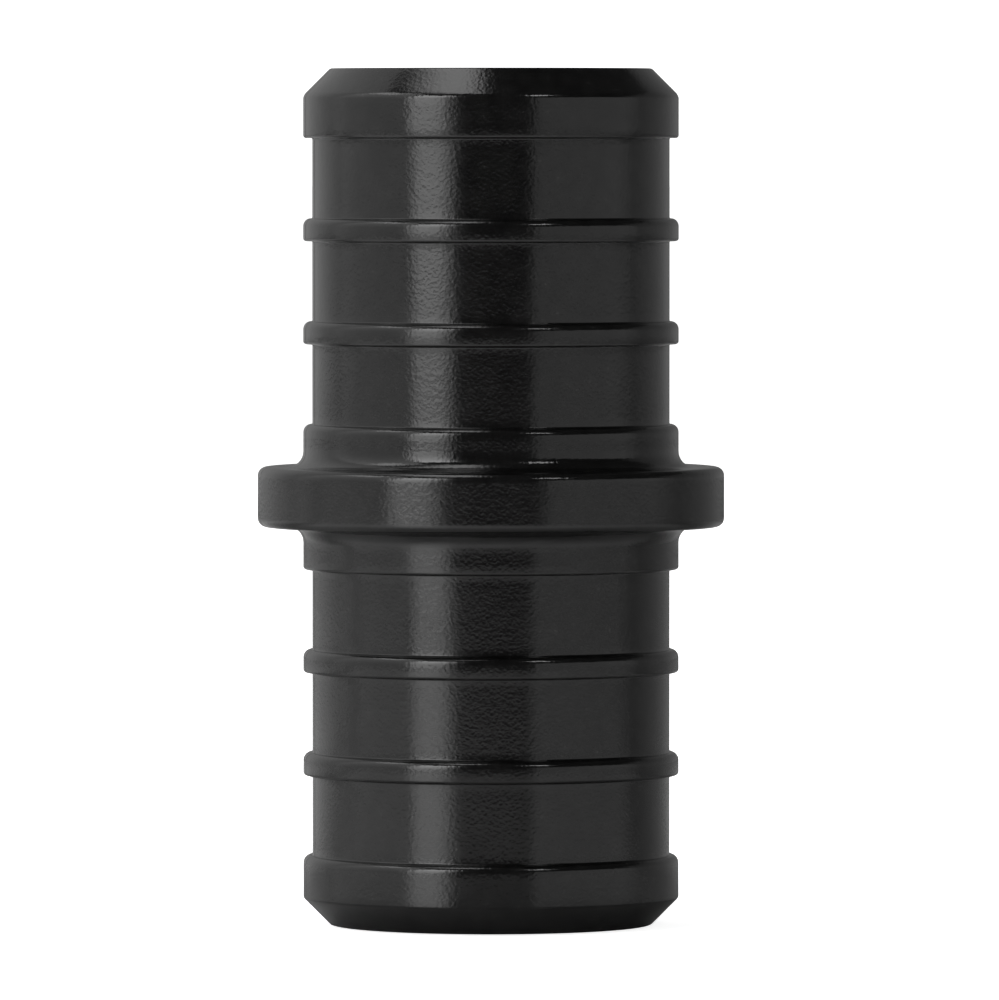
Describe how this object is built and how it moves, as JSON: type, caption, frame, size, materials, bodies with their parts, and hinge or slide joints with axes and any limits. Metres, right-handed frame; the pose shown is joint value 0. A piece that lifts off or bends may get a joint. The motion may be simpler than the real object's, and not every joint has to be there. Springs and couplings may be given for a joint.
{
  "type": "pipe coupling",
  "caption": "Straight barbed insert coupling that joins two plastic pipes end to end, with a stop flange between its spigots and a plain bore right through.",
  "frame": {"origin": "centre of the stop flange, on the bore's axis, which is also the centre of the part's bounding box", "axes": "+Z along the bore's axis, towards the upper spigot; X and Y lie in the flange's mid-plane"},
  "size_m": [0.0328, 0.0328, 0.0602],
  "materials": {
    "moulded_polymer": "black as-moulded engineering polymer, semi-gloss with a faint orange-peel texture"
  },
  "bodies": {
    "root": {"coupling_body": "moulded_polymer"}
  },
  "joints": []
}
